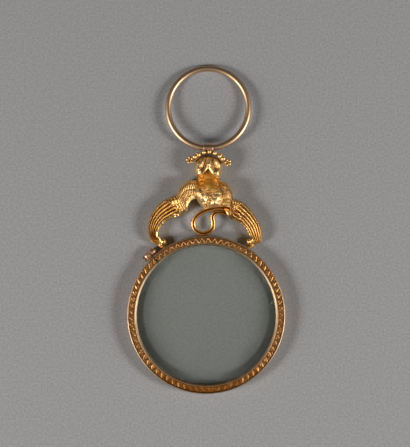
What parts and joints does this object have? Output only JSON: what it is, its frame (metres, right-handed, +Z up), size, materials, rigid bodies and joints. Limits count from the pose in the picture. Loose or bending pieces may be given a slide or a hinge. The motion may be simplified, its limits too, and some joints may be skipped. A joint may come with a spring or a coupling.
{
  "type": "hand-held quizzing glass",
  "caption": "Hand-held single eyeglass: a round lens in a chased split rim, joined by a winged, crowned cast figure to a swinging suspension ring.",
  "frame": {"origin": "middle of the whole piece's box in X and Y, on the surface that it lies on", "axes": "+Y along the piece from the rim to the suspension ring, +Z up from the surface that its back lies on, +X to the right as seen from the front"},
  "size_m": [0.038, 0.079, 0.0068],
  "materials": {
    "lens_glass": "clear, polished",
    "rim_gold": "worn polish",
    "band_rose_gold": "chased, old tarnish in the cuts",
    "lug_rose_gold": "worn polish",
    "screw_gold": "worn polish",
    "figure_gold": "cast and chased, brown in the hollows",
    "ring_gold": "drawn wire, worn polish"
  },
  "bodies": {
    "glass_and_figure": {"lens": "lens_glass", "rim_channel": "rim_gold", "chased_band": "band_rose_gold", "lug_tapped": "lug_rose_gold", "lug_plain": "lug_rose_gold", "shoulder_left": "figure_gold", "shoulder_right": "figure_gold", "wing_left": "figure_gold", "wing_right": "figure_gold", "foot_left": "figure_gold", "foot_right": "figure_gold", "breast": "figure_gold", "head": "figure_gold", "crown_band": "figure_gold", "crown_pearls": "figure_gold", "crown_rosettes": "figure_gold", "tail": "figure_gold", "ring_eyelet": "lug_rose_gold"},
    "closing_screw": {"closing_screw": "screw_gold"},
    "suspension_ring": {"suspension_ring": "ring_gold"}
  },
  "joints": [
    {"name": "ring_swing", "type": "hinge", "parent": "glass_and_figure", "child": "suspension_ring", "pos_m": [0.0005, 0.01961, 0.003], "axis": [1, 0, 0], "range_deg": [-140, 166]},
    {"name": "closing_screw_turn", "type": "hinge", "parent": "glass_and_figure", "child": "closing_screw", "pos_m": [-0.01347, -0.00583, 0.0016], "axis": [0.7378, 0.675, 0], "continuous": true}
  ]
}
